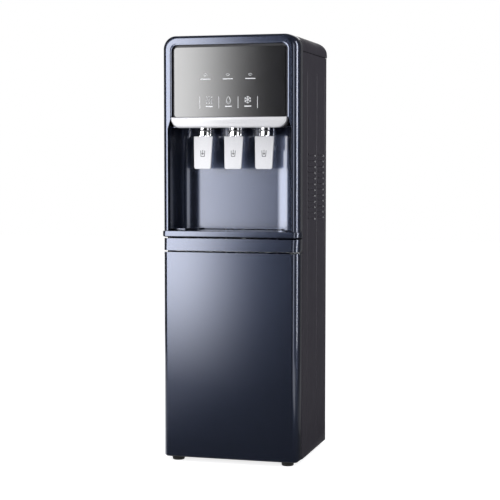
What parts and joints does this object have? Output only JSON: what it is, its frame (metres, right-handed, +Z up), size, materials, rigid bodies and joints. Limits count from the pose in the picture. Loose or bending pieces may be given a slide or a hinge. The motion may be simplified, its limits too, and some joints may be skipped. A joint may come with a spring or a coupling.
{
  "type": "top load water cooler",
  "caption": "Floor-standing water cooler with press-plate taps, dispensing alcove, drip tray and a storage cabinet behind a door.",
  "frame": {"origin": "on the floor, midway across and midway deep", "axes": "+Z up, the front faces -Y, +X to the right seen from the front"},
  "size_m": [0.336, 0.318, 1],
  "materials": {
    "navy_moulding": "metallic satin",
    "charcoal_steel": "fine powder coat",
    "black_glass": "polished black",
    "white_gloss": "gloss",
    "chrome_plate": "polished",
    "dark_plastic": "fine texture",
    "black_rubber": "matt",
    "bare_steel": "mill finish",
    "copper_tube": "drawn copper",
    "grey_plastic": "moulded",
    "foam_jacket": "closed-cell foam",
    "black_enamel": "black enamel"
  },
  "bodies": {
    "cabinet": {"upper_front_frame": "navy_moulding", "alcove_liner": "navy_moulding", "fascia_band": "navy_moulding", "side_panel_left": "charcoal_steel", "side_panel_right": "charcoal_steel", "back_panel": "charcoal_steel", "top_cover": "charcoal_steel", "control_glass": "black_glass", "chin_trim": "white_gloss", "storage_shelf": "white_gloss", "bottle_spike": "white_gloss", "hot_tap_body": "chrome_plate", "ambient_tap_body": "chrome_plate", "cold_tap_body": "chrome_plate", "panel_carrier": "dark_plastic", "indicator_board": "dark_plastic", "magnet_catch": "dark_plastic", "switch_housing": "dark_plastic", "power_inlet": "dark_plastic", "foot_front_left": "black_rubber", "foot_front_right": "black_rubber", "foot_rear_left": "black_rubber", "foot_rear_right": "black_rubber", "drain_plug": "black_rubber", "hot_tap_pin": "bare_steel", "ambient_tap_pin": "bare_steel", "cold_tap_pin": "bare_steel", "door_hinge_lower": "bare_steel", "door_hinge_upper": "bare_steel", "tank_shelf": "bare_steel", "cold_tank": "bare_steel", "tank_stand": "bare_steel", "hot_tank": "bare_steel", "compressor_mount": "bare_steel", "discharge_tube": "copper_tube", "suction_tube": "copper_tube", "filter_drier": "copper_tube", "cabinet_liner": "grey_plastic", "bottle_collar": "grey_plastic", "hot_water_tube": "grey_plastic", "ambient_water_tube": "grey_plastic", "cold_water_tube": "grey_plastic", "cold_tank_foam": "foam_jacket", "base_plate": "black_enamel", "compressor": "black_enamel", "condenser": "black_enamel"},
    "hot_tap": {"hot_press_plate": "white_gloss", "hot_tap_lever": "dark_plastic"},
    "ambient_tap": {"ambient_press_plate": "white_gloss", "ambient_tap_lever": "dark_plastic"},
    "cold_tap": {"cold_press_plate": "white_gloss", "cold_tap_lever": "dark_plastic"},
    "door": {"door_outer": "navy_moulding", "door_inner_panel": "grey_plastic", "door_gasket": "black_rubber", "door_strike": "bare_steel"},
    "tray": {"drip_tray": "navy_moulding"},
    "grille": {"drip_grille": "navy_moulding"},
    "heating_switch": {"heating_rocker": "black_rubber"},
    "cooling_switch": {"cooling_rocker": "black_rubber"}
  },
  "joints": [
    {"name": "hot_tap_press", "type": "hinge", "parent": "cabinet", "child": "hot_tap", "pos_m": [-0.0745, -0.099, 0.763], "axis": [1, 0, 0], "range_deg": [0, 10], "stiffness_Nm_per_rad": 0.3, "springref_deg": -8.59},
    {"name": "ambient_tap_press", "type": "hinge", "parent": "cabinet", "child": "ambient_tap", "pos_m": [0, -0.099, 0.763], "axis": [1, 0, 0], "range_deg": [0, 10], "stiffness_Nm_per_rad": 0.3, "springref_deg": -8.59},
    {"name": "cold_tap_press", "type": "hinge", "parent": "cabinet", "child": "cold_tap", "pos_m": [0.0745, -0.099, 0.763], "axis": [1, 0, 0], "range_deg": [0, 10], "stiffness_Nm_per_rad": 0.3, "springref_deg": -8.59},
    {"name": "door_swing", "type": "hinge", "parent": "cabinet", "child": "door", "pos_m": [0.158, -0.1145, 0.0138], "axis": [0, 0, 1], "range_deg": [0, 95]},
    {"name": "tray_pull", "type": "slide", "parent": "cabinet", "child": "tray", "axis": [0, -1, 0], "range_m": [0, 0.12]},
    {"name": "grille_lift", "type": "slide", "parent": "tray", "child": "grille", "axis": [0, 0, 1], "range_m": [0, 0.04]},
    {"name": "heating_rocker_tilt", "type": "hinge", "parent": "cabinet", "child": "heating_switch", "pos_m": [0.071, 0.14855, 0.84], "axis": [1, 0, 0], "range_deg": [-8, 8]},
    {"name": "cooling_rocker_tilt", "type": "hinge", "parent": "cabinet", "child": "cooling_switch", "pos_m": [0.099, 0.14855, 0.84], "axis": [1, 0, 0], "range_deg": [-8, 8]}
  ]
}
